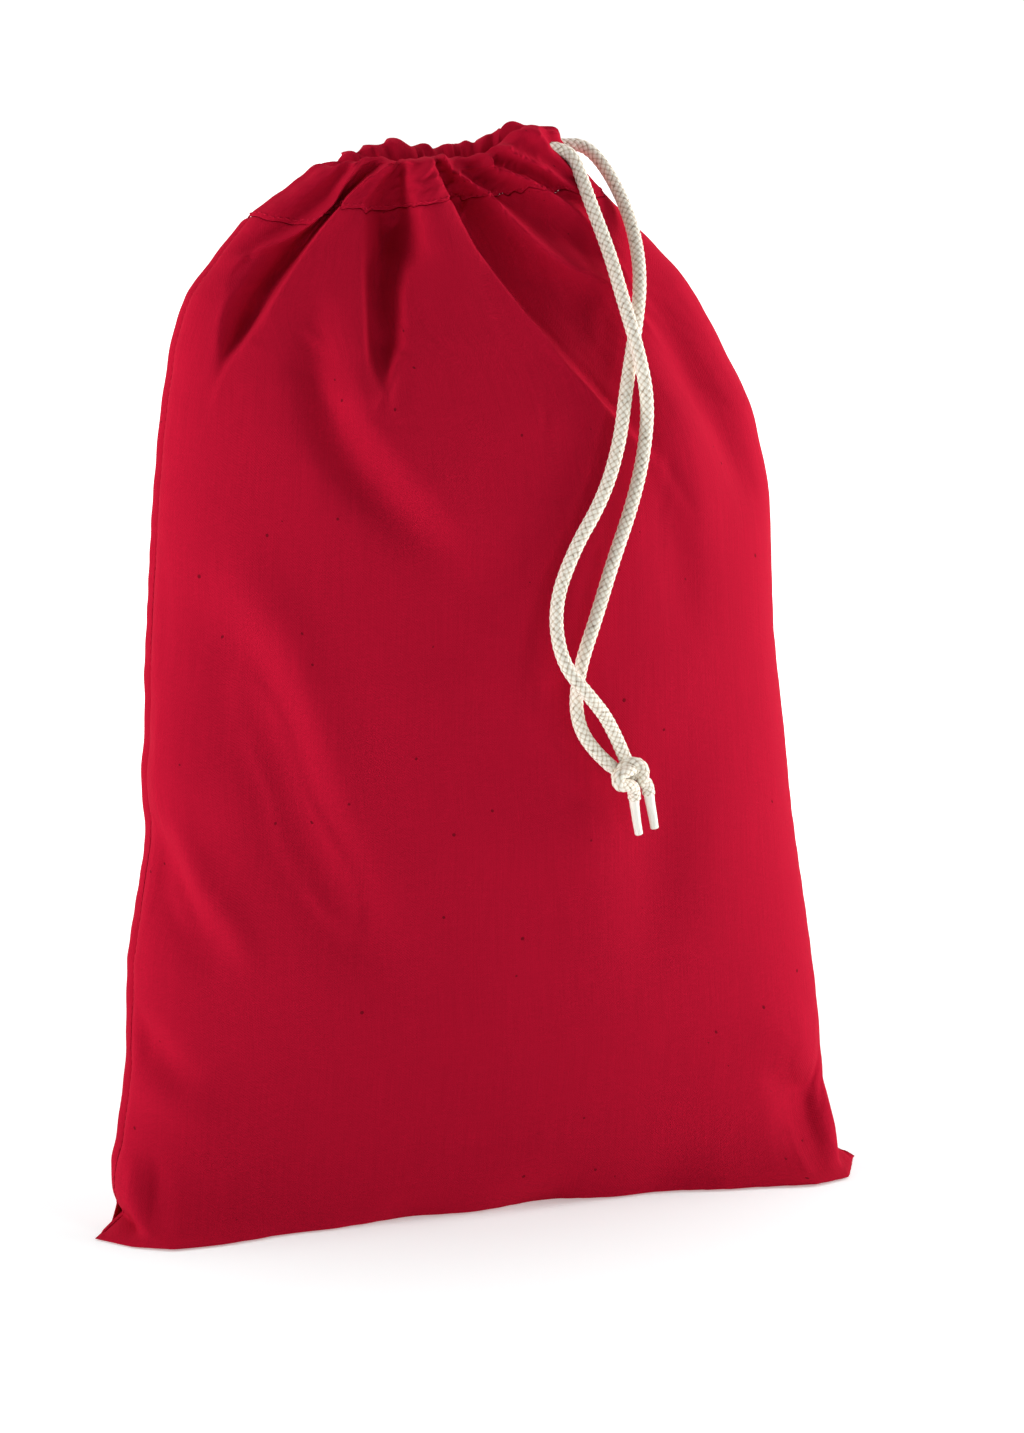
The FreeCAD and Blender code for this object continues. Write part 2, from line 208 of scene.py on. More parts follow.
def cord_material(name, light, mid, dark, dip=False):
    """Natural cotton braid. UV map: U in turns round the cord, V along it in metres."""
    m, t, b = new_material(name)
    uv = N(t, "UVMap", uv_map="flat").outputs["UV"]
    ob = N(t, "TexCoord").outputs["Object"]
    sep = N(t, "SeparateXYZ")
    put(t, sep, 0, uv)
    gap = N(t, "Attribute", attribute_name="groove", attribute_type="GEOMETRY").outputs["Fac"]
    fibre = noise(t, scaled(t, ob, 2600.0, 2600.0, 900.0), 1.0, 3.0, 0.65)
    speck = noise(t, scaled(t, ob, 620.0, 620.0, 620.0), 1.0, 3.0, 0.6)
    tone = noise(t, scaled(t, ob, 70.0, 70.0, 70.0), 1.0, 2.0, 0.5)
    base = mix(t, fibre, mid, light)
    base = mix(t, math_node(t, "MULTIPLY", ramp(t, tone, [(0.35, (0, 0, 0)), (0.7, (1, 1, 1))]), 0.35), base, mid)
    if not dip:
        seed = ramp(t, speck, [(0.54, (0, 0, 0)), (0.68, (1, 1, 1))])
        # painted shade: the grooves between the yarns are darkened towards the dark colour. The seed specks are the
        # cotton's own, but they are weighted towards the grooves, so there they add to that painted shade
        seed_g = math_node(t, "MULTIPLY", seed, math_node(t, "ADD", math_node(t, "MULTIPLY", gap, 1.1), 0.10))
        base = mix(t, math_node(t, "MULTIPLY", ramp(t, gap, [(0.15, (0, 0, 0)), (0.75, (1, 1, 1))]), 0.85), base, dark)
        base = mix(t, seed_g, base, lin(120, 92, 62))
    t.links.new(base, b.inputs["Base Color"])
    h = math_node(t, "ADD", math_node(t, "MULTIPLY", fibre, 1.0), math_node(t, "MULTIPLY", speck, 0.5))
    t.links.new(bump(t, h, 0.00012 if not dip else 0.00005, 0.7), b.inputs["Normal"])
    b.inputs["Roughness"].default_value = 0.86 if not dip else 0.5
    b.inputs["Specular IOR Level"].default_value = 0.25 if not dip else 0.4
    b.inputs["Sheen Weight"].default_value = 0.15 if not dip else 0.0
    return m


RED = cotton("red_cotton", lin(192, 18, 49), lin(157, 13, 39))
SEAM = cotton("red_seam_allowance", lin(176, 20, 46), lin(152, 16, 38), flecks=False)
THREAD = cotton("red_thread", lin(206, 30, 62), lin(176, 18, 46), flecks=False)
# the braid's third colour is the painted shade in its grooves
CORD = cord_material("natural_braid", lin(255, 252, 243), lin(246, 238, 222), lin(172, 134, 86))
DIP = cord_material("dipped_braid_end", lin(252, 248, 240), lin(242, 236, 224), lin(200, 190, 170), dip=True)

# ------------------------------------------------------------------ cords
FRONT_ROUTE = [(26.0, -7.9, 389.0), (30.8, -7.9, 389.0), (35.9, -9.8, 386.0), (38.1, -12.6, 378.2), (39.4, -20.7, 367.5),
               (42.5, -29.3, 352.8), (44.0, -39.4, 336.6), (44.7, -51.7, 321.2), (49.1, -51.8, 302.3), (47.5, -52.1, 282.6),
               (41.0, -56.3, 263.9), (33.4, -58.2, 245.5), (26.6, -59.8, 226.2), (19.5, -61.1, 207.5), (18.1, -60.6, 191.2),
               (23.9, -60.1, 178.7), (32.5, -60.4, 171.0)]
BACK_ROUTE = [(33.0, 7.9, 389.0), (38.5, 7.9, 389.0), (46.1, 6.7, 389.0), (51.5, 1.3, 382.5), (55.5, -7.4, 371.0),
              (55.9, -20.4, 357.8), (53.6, -32.2, 342.1), (48.2, -40.7, 324.9), (42.0, -48.3, 306.8), (37.4, -54.0, 287.2),
              (29.7, -57.7, 268.0), (17.6, -60.0, 250.5), (10.0, -60.6, 230.5), (10.6, -66.9, 211.6), (20.7, -67.9, 199.3),
              (31.4, -62.3, 187.4), (37.8, -60.7, 172.9)]


def nurbs_points(name, route):
    """The route's own smooth line: a NURBS spline with the route's points as its control points, read back as points."""
    c = bpy.data.curves.new(name, "CURVE")
    c.dimensions = "3D"
    c.resolution_u = 24
    s = c.splines.new("NURBS")
    s.points.add(len(route) - 1)
    for p, q in zip(s.points, route):
        p.co = (q[0] * MM, q[1] * MM, q[2] * MM, 1.0)
    s.order_u = 3
    s.use_endpoint_u = True
    ob = bpy.data.objects.new(name, c)
    scene.collection.objects.link(ob)
    bpy.context.view_layer.update()
    me = bpy.data.meshes.new_from_object(ob)
    pts = np.array([v.co for v in me.vertices], float)
    bpy.data.objects.remove(ob)
    bpy.data.meshes.remove(me)
    return pts


def resample(pts, step):
    d = np.r_[0, np.cumsum(np.linalg.norm(np.diff(pts, axis=0), axis=1))]
    n = max(2, int(round(d[-1] / step)) + 1)
    s = np.linspace(0, d[-1], n)
    return np.stack([np.interp(s, d, pts[:, k]) for k in range(3)], 1), s


def frames(pts):
    """Rotation-minimising frames along a line of points."""
    t = np.gradient(pts, axis=0)
    t /= np.linalg.norm(t, axis=1)[:, None]
    a = np.cross(t[0], (0.0, 1.0, 0.0))
    if np.linalg.norm(a) < 0.1:
        a = np.cross(t[0], (1.0, 0.0, 0.0))
    a /= np.linalg.norm(a)
    A = [a]
    for k in range(1, len(pts)):
        a = A[-1] - t[k] * np.dot(A[-1], t[k])
        A.append(a / np.linalg.norm(a))
    A = np.array(A)
    return t, A, np.cross(t, A)


def braid_height(turn, along, radius):
    """Height and groove of a round braid's yarns: 8 run one way and 8 the other, over two and under two."""
    n, pitch = 6, 0.0156
    p = (turn + along / pitch) * n
    q = (turn - along / pitch) * n
    # over and under in a diamond pattern
    fp, fq = np.abs((p % 1.0) - 0.5) * 2, np.abs((q % 1.0) - 0.5) * 2
    over = ((np.floor(p) + np.floor(q)) % 2) < 1
    hp, hq = np.sqrt(np.clip(1 - fp ** 2 * 0.93, 0, 1)), np.sqrt(np.clip(1 - fq ** 2 * 0.93, 0, 1))
    ends_p, ends_q = np.sqrt(np.clip(1 - fq ** 2 * 0.8, 0, 1)), np.sqrt(np.clip(1 - fp ** 2 * 0.8, 0, 1))
    h = np.where(over, hp * (0.35 + 0.65 * ends_p), hq * (0.35 + 0.65 * ends_q))
    return h


def tube(name, pts, radius, material, around=56, step=0.0003, depth=0.00042, squash=None, taper=None, caps=True, offset=0.0):
    """A braided tube along a line of points, radius measured to the tops of the yarns."""
    P, s = resample(pts, step)
    t, A, B = frames(P)
    m = len(P)
    th = np.arange(around) / around
    TH, S = np.meshgrid(th, s, indexing="xy")
    h = braid_height(TH, S + offset, radius) if depth > 0 else np.ones_like(TH)
    r = radius - depth * (1 - h)
    if taper is not None:
        r = r * np.interp(s, *taper)[:, None]
    ca, sa = np.cos(2 * np.pi * th), np.sin(2 * np.pi * th)
    V = P[:, None] + r[..., None] * (ca[None, :, None] * A[:, None] + sa[None, :, None] * B[:, None])
    V = V.reshape(-1, 3)
    k, i = np.meshgrid(np.arange(m - 1), np.arange(around), indexing="ij")
    j = (i + 1) % around
    F = np.stack([k * around + i, k * around + j, (k + 1) * around + j, (k + 1) * around + i], -1).reshape(-1, 4)
    faces = F.tolist()
    verts = V.tolist()
    groove = (1 - h).ravel().tolist()
    if caps:
        for base, ring, order in ((P[0], 0, 1), (P[-1], m - 1, -1)):
            verts.append((base + (-t[0] if ring == 0 else t[-1]) * radius * 0.35).tolist())
            groove.append(0.3)
            c = len(verts) - 1
            for a in range(around):
                x, y = ring * around + a, ring * around + (a + 1) % around
                faces.append([c, y, x] if order == 1 else [c, x, y])
    me = bpy.data.meshes.new(name)
    me.from_pydata(verts, [], faces)
    me.shade_smooth()
    lay = me.uv_layers.new(name="flat")
    vi = np.zeros(len(me.loops), int)
    me.loops.foreach_get("vertex_index", vi)
    U = np.r_[np.tile(th, m), [0.5] * (len(verts) - m * around)]
    W = np.r_[np.repeat(s, around), [0.0] * (len(verts) - m * around)]
    lay.data.foreach_set("uv", np.stack([U[vi], W[vi]], 1).astype(np.float32).ravel())
    at = me.attributes.new("groove", "FLOAT", "POINT")
    at.data.foreach_set("value", np.array(groove, np.float32))
    me.materials.append(material)
    ob = bpy.data.objects.new(name, me)
    scene.collection.objects.link(ob)
    return ob


R = 0.0025
front_line = nurbs_points("front_line", FRONT_ROUTE)
back_line = nurbs_points("back_line", BACK_ROUTE)
front_strand = tube("front_strand", front_line, R, CORD)
back_strand = tube("back_strand", back_line, R, CORD, offset=0.004)
for ob, node in ((front_strand, "drawcord_front_strand"), (back_strand, "drawcord_back_strand")):
    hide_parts(node)
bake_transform(front_strand)
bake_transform(back_strand)

# the two leads, still inside the casing
front_lead = tube("front_lead", nurbs_points("front_lead_line", [(-19.0, -5.2, 377.0), (-6.0, -5.2, 376.6), (4.0, -5.2, 379.5), (11.0, -5.3, 384.0), (16.5, -6.4, 387.4), (21.0, -7.7, 388.9), (26.0, -7.9, 389.0)]), R, CORD, around=40, step=0.0005)
back_lead = tube("back_lead", nurbs_points("back_lead_line", [(-12.0, 5.2, 379.0), (1.0, 5.2, 382.6), (13.0, 5.0, 386.6), (21.0, 5.2, 388.6), (27.0, 7.2, 389.0), (33.0, 7.9, 389.0)]), R, CORD, around=40, step=0.0005)
for ob, node in ((front_lead, "drawcord_front_lead"), (back_lead, "drawcord_back_lead")):
    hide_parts(node)
# the cord runs on inside the casing: a lead's far end stays there while its near end is pulled out
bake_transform(front_lead)
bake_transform(back_lead)

# the run round the far end of the neck, hidden in the casing and sagging with it
loop = nurbs_points("loop_line", [(-19.0, -5.2, 377.0), (-27.0, -5.1, 377.0), (-36.0, -5.0, 376.4), (-43.0, -4.2, 375.6), (-46.0, 0.0, 375.2), (-43.0, 4.2, 375.6), (-34.0, 5.0, 376.8), (-22.0, 5.2, 378.0), (-12.0, 5.2, 379.0)])
hidden = tube("cord_in_casing", loop, R * 0.97, CORD, around=32, step=0.0006)
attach(hidden, "neck")
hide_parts("drawcord_in_casing")

# overhand knot of both strands together, then the two ends
KC = np.array((39.3, -60.6, 167.3))


def knot_tube(name, pts, radius, step=0.0003, depth=0.00042, offset=0.0):
    return tube(name, nurbs_points(name + "_line", pts), radius, CORD, step=step, depth=depth, offset=offset)


turn_a = [(31.2, -60.3, 172.3), (33.4, -60.6, 170.2), (36.6, -60.6, 168.0), (40.2, -59.6, 166.6), (42.0, -59.8, 168.2), (40.2, -62.0, 170.2), (36.8, -65.0, 170.3),
          (33.4, -66.4, 169.4), (32.3, -66.6, 167.2), (33.4, -66.2, 165.2), (36.8, -65.0, 164.9), (39.6, -63.0, 163.8), (40.8, -61.2, 161.4), (41.3, -60.2, 158.8)]
turn_b = [(37.1, -61.0, 174.8), (37.9, -60.6, 172.6), (38.3, -59.4, 169.6), (37.2, -58.6, 166.6), (34.8, -60.0, 166.0), (34.2, -62.2, 169.0), (36.6, -62.6, 171.8),
          (40.0, -63.0, 172.6), (43.3, -62.8, 170.8), (44.0, -62.0, 167.6), (43.8, -61.0, 165.4), (45.6, -60.2, 164.4), (46.8, -59.6, 162.2), (47.2, -59.2, 159.8)]
knot_a = knot_tube("knot_front_strand", turn_a, R * 0.97)
knot_b = knot_tube("knot_back_strand", turn_b, R * 0.97, offset=0.003)
for ob in (knot_a, knot_b):
    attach(ob, "tails")
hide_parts("drawcord_knot")

tip_a = tube("front_tip", np.array([(41.1, -60.4, 160.0), (41.6, -59.6, 156.4), (43.0, -58.2, 150.0), (44.3, -57.2, 144.8)]) * MM, 0.00165, DIP, around=40,
             step=0.0004, depth=0.00012, taper=([0, 0.0022, 0.006, 0.0144], [1.3, 1.12, 1.02, 0.92]))
tip_b = tube("back_tip", np.array([(47.1, -59.3, 161.0), (48.0, -58.6, 156.8), (49.6, -57.2, 151.2), (50.8, -56.2, 146.4)]) * MM, 0.00172, DIP, around=40,
             step=0.0004, depth=0.00012, taper=([0, 0.0022, 0.006, 0.0144], [1.3, 1.12, 1.02, 0.90]))
for ob, node in ((tip_a, "front_cord_tip"), (tip_b, "back_cord_tip")):
    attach(ob, "tails")
    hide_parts(node)

# ------------------------------------------------------------------ the sack's cloth
# One tube of cloth, 600 mm round and 450 mm tall when flat: columns 0 to 120 are the front panel from the left
# side seam to the right one, and 120 to 240 the back panel. Everything here is in millimetres.
NC, NR = 320, 241
V = np.linspace(0, 450.0, NR)
TAU = np.array((0, 5, 10, 30, 60, 100, 145, 205, 265, 295, 325, 340, 362, 371, 380, 388), float)
WIDE = np.array((138, 138.5, 139, 139.3, 135.5, 131.7, 124.1, 120.1, 116.6, 111.6, 101.2, 93.5, 71.5, 61, 51, 44), float)
DEEP = np.array((33, 35, 36.5, 40, 44, 49, 53, 56, 54, 50, 42, 36.5, 26.5, 22, 18.5, 16.5), float)
MID = np.array((2.6, 2.6, 2.6, 2.6, 3.3, .8, 1.1, -2.6, -2.2, -4.2, -9.9, -12.5, -18.5, -19.4, -17.0, -13.5), float)


def top_at(x):
    """Height of the gathered top edge: the neck leans up towards the side where the cord leaves."""
    return 387.0 + (x + 40.0) / 65.0 * 11.0


def top_edge(x, side):
    """How far the gathered top edge stands off that line, front and back."""
    if side == "front":
        z = np.interp(x, (-58, -50, -40, -31, -24, -17, -12, -6, 0, 5, 8.5, 12, 17, 22, 26, 31),
                      (383.5, 385.5, 386.4, 385.2, 386, 387, 386.2, 385.8, 386.2, 387.6, 389.6, 391.6, 394.6, 396.6, 396.4, 394))
    else:
        z = np.interp(x, (-58, -50, -44, -36, -25.4, -17, -9, -4.5, 3, 9, 12.6, 17, 22, 27, 32),
                      (382.0, 384.6, 387.0, 389.4, 391.5, 388.8, 388.8, 389.4, 390.2, 391.2, 392.6, 395.4, 397.0, 396.6, 394.8))
    ripple = 0.45 * np.sin(x * 2 * math.pi / 7.5 + 1.0) if side == "front" else 0.75 * np.sin(x * 2 * math.pi / 9.4 + 1.3 * np.sin(x * 0.13))
    return z - top_at(x) + ripple


# Fold lines down the front, each as (x, level, height): ridges stand near 0, valleys below it.
RIDGES_AND_VALLEYS = [
    ("Va", .0, [(-50.7, 386, -4), (-61.2, 376.3, -6), (-74.1, 367.3, -5), (-84.9, 359.4, -3), (-95.3, 345.2, -1)]),
    ("Rb", .6, [(-47.6, 386, -1), (-57.7, 373.2, -1), (-65.8, 367.2, -1), (-76.7, 361.3, -1), (-85.9, 358.0, -0.5), (-93.1, 350.5, -0.5), (-97.4, 340.8, 0), (-100.3, 328.7, 0), (-101.3, 319.8, 0)]),
    ("V1", .0, [(-40.3, 386, -8), (-51.8, 377.5, -8), (-60.3, 368.8, -9), (-70.4, 358.4, -11), (-82.6, 346.0, -11), (-90.8, 334.0, -9), (-96.1, 325.5, -5), (-99.5, 318.8, -0.5)]),
    ("R1", .95, [(-34.4, 387.4, 0), (-46.8, 380.3, 0), (-58.1, 371.1, 0.5), (-68.5, 358.3, 0.5), (-78.9, 343.5, 0.5), (-88.7, 330.4, 0.3), (-95.0, 322.0, 0), (-98.0, 316.8, 0)]),
    ("P1", .15, [(-33.6, 386.2, -1.5), (-41.1, 380.5, -2), (-46.9, 374.0, -2), (-49.8, 360.3, -2), (-52.2, 339.0, -2), (-53.3, 325.5, -1.5), (-52.4, 314.5, -0.5)]),
    ("V2", .0, [(-31.1, 386.5, -6), (-32.4, 377.4, -11), (-33.6, 370.5, -14), (-34.0, 363.9, -15), (-37.4, 357.5, -15), (-41.5, 350.9, -14), (-43.7, 342.3, -14), (-45.1, 332.1, -12), (-45.5, 323.7, -10), (-46.4, 316.8, -5), (-47.5, 310.7, -1)]),
    ("R2", .9, [(-28.9, 386.8, -0.5), (-29.6, 381.6, 0), (-29.5, 376.8, 0), (-28.3, 370.8, 0.5), (-26.5, 363.7, 0.5), (-26.1, 358.0, -0.5), (-27.5, 353.2, -2.5), (-32.1, 349.5, -4.0), (-35.5, 342.1, -3), (-37.2, 333.7, -2), (-38.6, 326.3, -1), (-41.7, 319.2, -0.3), (-44.6, 312.7, 0)]),
    ("C", .0, [(-24.3, 387.4, 1), (-23.3, 377.8, 2.5), (-20.4, 366.0, 2.5), (-16.7, 356.0, 2), (-11.7, 344.5, 1.2), (-3.1, 327.6, 0.5), (6.4, 310.0, 0)]),
    ("R3", .95, [(-19.5, 386.5, 0), (-16.8, 376.8, 0.5), (-15.8, 372.2, 0.8), (-9.7, 357.0, 1), (-2.1, 345.0, 1), (5.6, 334.1, 1), (18.9, 317.4, .8), (33.2, 301.7, .6), (48.5, 286.7, 0)]),
    ("V3", .0, [(-17.6, 384.9, -5), (-13.4, 374.9, -9), (-10.5, 368.1, -11), (-4.5, 356.7, -11), (4.0, 345.4, -10), (12.7, 335.5, -9), (26.1, 319.5, -6), (40.4, 302.4, -4), (53.8, 288.2, -1)]),
    ("R4", .8, [(-15.4, 385.9, 0), (-7.7, 378.7, 0), (-0.9, 373.5, 0), (4.8, 364.9, 0), (12.2, 357.7, 0), (20.5, 350.9, 0), (30.2, 346.4, 0), (39.9, 343.1, 0), (50.4, 338.1, 0)]),
    ("V4", .0, [(-5.8, 384.4, -6), (-1.4, 376.6, -8), (8.6, 369.3, -9), (18.7, 360.9, -8), (29.7, 354.5, -7), (39.2, 349.7, -5), (51.0, 344.4, -2)]),
    ("R5", .7, [(2.0, 383.8, 0), (9.4, 377.6, 0), (20.9, 370.1, 0), (31.0, 363.9, 0), (37.5, 359.9, 0), (44.4, 354.7, 0)]),
    ("V5", .0, [(6.0, 385.0, -6), (12.9, 378.1, -8), (21.9, 372.9, -7), (30.7, 367.6, -6), (39.6, 362.1, -3)]),
    ("R6", .5, [(9.1, 386.7, 0), (14.9, 380.3, 0), (23.0, 375.0, 0), (32.0, 370.0, -0.5), (40.5, 364.8, -1)]),
    ("V6", .0, [(14.7, 387.0, -5), (19.1, 381.6, -5), (27.2, 376.5, -4), (36.5, 371.0, -3)]),
    ("R7", .3, [(19.4, 387.8, 0), (23.5, 382.4, 0), (31.0, 377.1, 0)]),
    ("V7", .0, [(24.0, 387.8, -4), (27.5, 383.4, -3), (33.0, 379.1, -2)]),
]
# Softer, shallower hollows and swells lower down: (points as x, z), height, half-width
SOFT_FOLDS = [
    ([(-68.1, 338), (-68.6, 317.1), (-65.0, 297.2), (-58.2, 285.0), (-45.4, 268.4), (-31.0, 254)], -4.2, 6.5),
    ([(-59.4, 330), (-58.1, 308.5), (-51.2, 294.6), (-39.6, 281.2), (-26.0, 267.9), (-14, 255)], 2.2, 8.0),
    ([(-46.3, 316), (-50.0, 309.7), (-56.7, 306.8), (-63.6, 307.5)], 1.8, 3.5),
    ([(-110, 231), (-98.1, 214.2), (-87.9, 190), (-78.0, 160.0), (-64.0, 130), (-46, 96)], -4.6, 10.0),
    ([(-99, 246), (-84, 220), (-73.0, 186.0), (-62, 150), (-50, 122)], 3.0, 8.0),
    ([(-118.5, 155.9), (-114.4, 142), (-110.5, 130.2), (-95.5, 106.9)], 2.6, 4.0),
    ([(-121.0, 150.9), (-120.4, 138), (-117.5, 122.2), (-106, 104)], -3.0, 6.0),
    ([(58.0, 346), (72.6, 320), (90, 288), (99.6, 266)], -3.8, 7.0),
    ([(47.0, 330), (61.6, 300), (70, 270), (72.6, 240)], 2.0, 9.0),
    ([(60.0, 268), (66, 245), (67, 225)], -1.6, 9.0),
    ([(52.0, 170), (58, 130), (55, 90)], -2.0, 12.0),
    ([(-20.0, 220), (-6, 160), (-1, 110)], -1.8, 16.0),
    ([(-122.7, 200.5), (-119.2, 176.6), (-123.0, 158.2)], 1.6, 7.0),
    ([(-132, 76), (-126, 66), (-118, 58)], -3.0, 5.0),
    ([(-130, 64), (-121, 52), (-110, 46)], 2.0, 6.0),
    ([(141, 20), (128, 30), (112.8, 35)], -2.2, 4.0),
    ([(138, 40), (122, 52), (104, 58)], 1.5, 7.0),
    ([(-80, 24), (-60, 14), (-30, 12), (0, 10), (40, 12), (80, 20)], -1.2, 6.0),
]


def make_back_lines():
    rng = np.random.RandomState(11)
    out = []
    fr = np.linspace(-0.86, 0.86, 19)
    for k, f in enumerate(fr):
        f = f + rng.uniform(-.018, .018)
        ridge = k % 2 == 0
        end = rng.uniform(262, 322) if ridge else rng.uniform(255, 315)
        pts = []
        for lev in (387, 380, 371, 362, 345, 325, 300):
            if lev < end:
                break
            a, c = np.interp(lev, TAU, WIDE), np.interp(lev, TAU, MID)
            fall = np.clip((lev - end) / 55.0, 0, 1) ** .8
            h = 0.0 if ridge else -rng.uniform(8, 12.5) * fall * (0.55 if lev > 383 else 1)
            pts.append((c + a * (f + 0.05 * math.sin(k * 1.7 + lev / 25.0) * (388 - lev) / 80.0), lev, h))
        pts.append((pts[-1][0], end, 0.0))
        out.append(("b%d" % k, rng.uniform(.4, .95) if ridge else 0.0, pts))
    return out


def profile(kn, x):
    """Heights at x through fold knots (x, height, sharpness): pointed at sharp ridges, round elsewhere."""
    kn = sorted(kn)
    for k in range(1, len(kn)):
        if kn[k][0] < kn[k - 1][0] + 0.9:
            kn[k] = (kn[k - 1][0] + 0.9, kn[k][1], kn[k][2])
    X = np.array([k[0] for k in kn])
    H = np.array([k[1] for k in kn])
    Q = np.array([k[2] for k in kn])
    j = np.clip(np.searchsorted(X, x) - 1, 0, len(X) - 2)
    t = np.clip((x - X[j]) / (X[j + 1] - X[j]), 0, 1)
    soft = t * t * (3 - 2 * t)
    e = soft + Q[j] * ((1 - (1 - t) ** 2) - soft) + Q[j + 1] * (t * t - soft)
    return H[j] + (H[j + 1] - H[j]) * e


def height_at(lines, tau, x, a, c):
    """The folds' height over the smooth section at points x of one level; each fold fades out below its end."""
    kn = [(c - a, 0.0, 0.0), (c + a, 0.0, 0.0)]
    fading = []
    for _, sharp, pts in lines:
        p = sorted(pts, key=lambda q: q[1])
        lv = [q[1] for q in p]
        xx = np.interp(tau, lv, [q[0] for q in p])
        hh = np.interp(tau, lv, [q[2] for q in p])
        if tau < lv[0] + 14:
            reach = 26.0 + 0.10 * (390 - lv[0])
            k = np.clip(1 - (lv[0] + 14 - tau) / (14.0 + reach), 0, 1)
            if k <= 0:
                continue
            if tau < lv[0]:
                slope = (p[1][0] - p[0][0]) / (lv[1] - lv[0])
                xx = p[0][0] + np.clip(slope, -1.2, 1.2) * (tau - lv[0]) * 0.7
            fading.append((k * k * (3 - 2 * k), (xx, hh, sharp)))
        else:
            kn.append((xx, hh, sharp))
    h = last = profile(kn, x)
    for k, knot in sorted(fading, reverse=True):
        kn.append(knot)
        new = profile(kn, x)
        h = h + k * (new - last)
        last = new
    return h


def soft_height(x, z):
    out = 0.45 * np.sin(x / 17.0 + 1.3 * np.sin(z / 41.0)) * np.sin(z / 27.0 + 0.9 * np.sin(x / 21.0))
    for pts, amp, w in SOFT_FOLDS:
        P = np.array(pts, float)
        seg = np.r_[0, np.cumsum(np.linalg.norm(np.diff(P, axis=0), axis=1))]
        s = np.linspace(0, seg[-1], 60)
        L = np.stack([np.interp(s, seg, P[:, 0]), np.interp(s, seg, P[:, 1])], 1)
        fade = np.sin(np.pi * np.clip(s / seg[-1] * 0.92 + 0.04, 0, 1)) ** 0.7
        d2 = (x[:, None] - L[None, :, 0]) ** 2 + (z - L[None, :, 1]) ** 2
        out += 1.4 * amp * (np.exp(-d2 / (2 * w * w)) * fade[None]).max(1)
    return out


def section(tau, side, lines, n=481):
    """One half of the sack's section at a level, with its folds, as points from the left seam to the right."""
    a, b, c = (np.interp(tau, TAU, q) for q in (WIDE, DEEP, MID))
    grow = 0.6 * np.clip((tau - 40) / 30.0, 0, 1) * np.clip((385 - tau) / 20.0, 0, 1)
    shoulder = 0.9 * math.exp(-((tau - 350) / 14.0) ** 2)
    hip = 0.9 * math.exp(-((tau - 166) / 13.0) ** 2)
    a, c = a + grow + shoulder + hip, c + grow + shoulder - hip
    e = 2.0 + 0.5 * np.clip((tau - 362) / 20.0, 0, 1)
    th = np.linspace(math.pi, 0, n)
    cx, sy = np.cos(th), np.sin(th)
    x = c + a * np.sign(cx) * np.abs(cx) ** (2 / e)
    y = b * np.abs(sy) ** (2 / e)
    nx, ny = np.sign(cx) * np.abs(cx) ** (2 - 2 / e) / a, np.abs(sy) ** (2 - 2 / e) / b
    q = np.hypot(nx, ny) + 1e-9
    nx, ny = nx / q, ny / q
    h = height_at(lines, tau, x, a, c)
    h = np.where(h < 0, h * 1.25, h)
    if side == "front":
        h = h + soft_height(x, tau)
    h = h * np.clip(sy / 0.18, 0, 1)
    if tau > 362:
        # the small gathers between the big pleats, tightest on the cord
        g = np.clip((tau - 362) / 22.0, 0, 1) ** 1.3
        arc = np.r_[0, np.cumsum(np.hypot(np.diff(x), np.diff(y)))]
        wob = arc + 1.5 * np.sin(arc * 0.21 + (1.0 if side == "front" else 2.2)) + 0.8 * np.sin(arc * 0.47)
        h = h + 2.3 * np.clip((tau - 362) / 10.0, 0, 1) * np.clip(1 + h / 7.0, 0, 1)
        if side == "front":
            h = h + g * (0.9 * np.sin(wob * 2 * math.pi / 8.7) + 0.10 * np.sin(wob * 2 * math.pi / 3.7 + 1.0))
        else:
            h = h + g * (1.4 * np.sin(wob * 2 * math.pi / 6.6) + 0.4 * np.sin(wob * 2 * math.pi / 3.3 + 1.0))
        # never in through the cord that the casing holds
        k = np.clip((tau - 358) / 10.0, 0, 1)
        lead = np.clip((x - 2.0) / 8.0, 0, 1)
        room = (y - 8.8 - 3.0 * lead * lead * (3 - 2 * lead)) / np.maximum(ny, 0.35)
        floor_h = -np.maximum(room, 1.2) * k - 16 * (1 - k)
        h = floor_h + np.logaddexp(0, (h - floor_h) / 0.7) * 0.7
    return x + nx * h, y + ny * h


def even(x, y, z, n):
    d = np.r_[0, np.cumsum(np.sqrt(np.diff(x) ** 2 + np.diff(y) ** 2 + np.diff(z) ** 2))]
    s = np.linspace(0, d[-1], n)
    return np.stack([np.interp(s, d, q) for q in (x, y, z)], 1), d[-1]


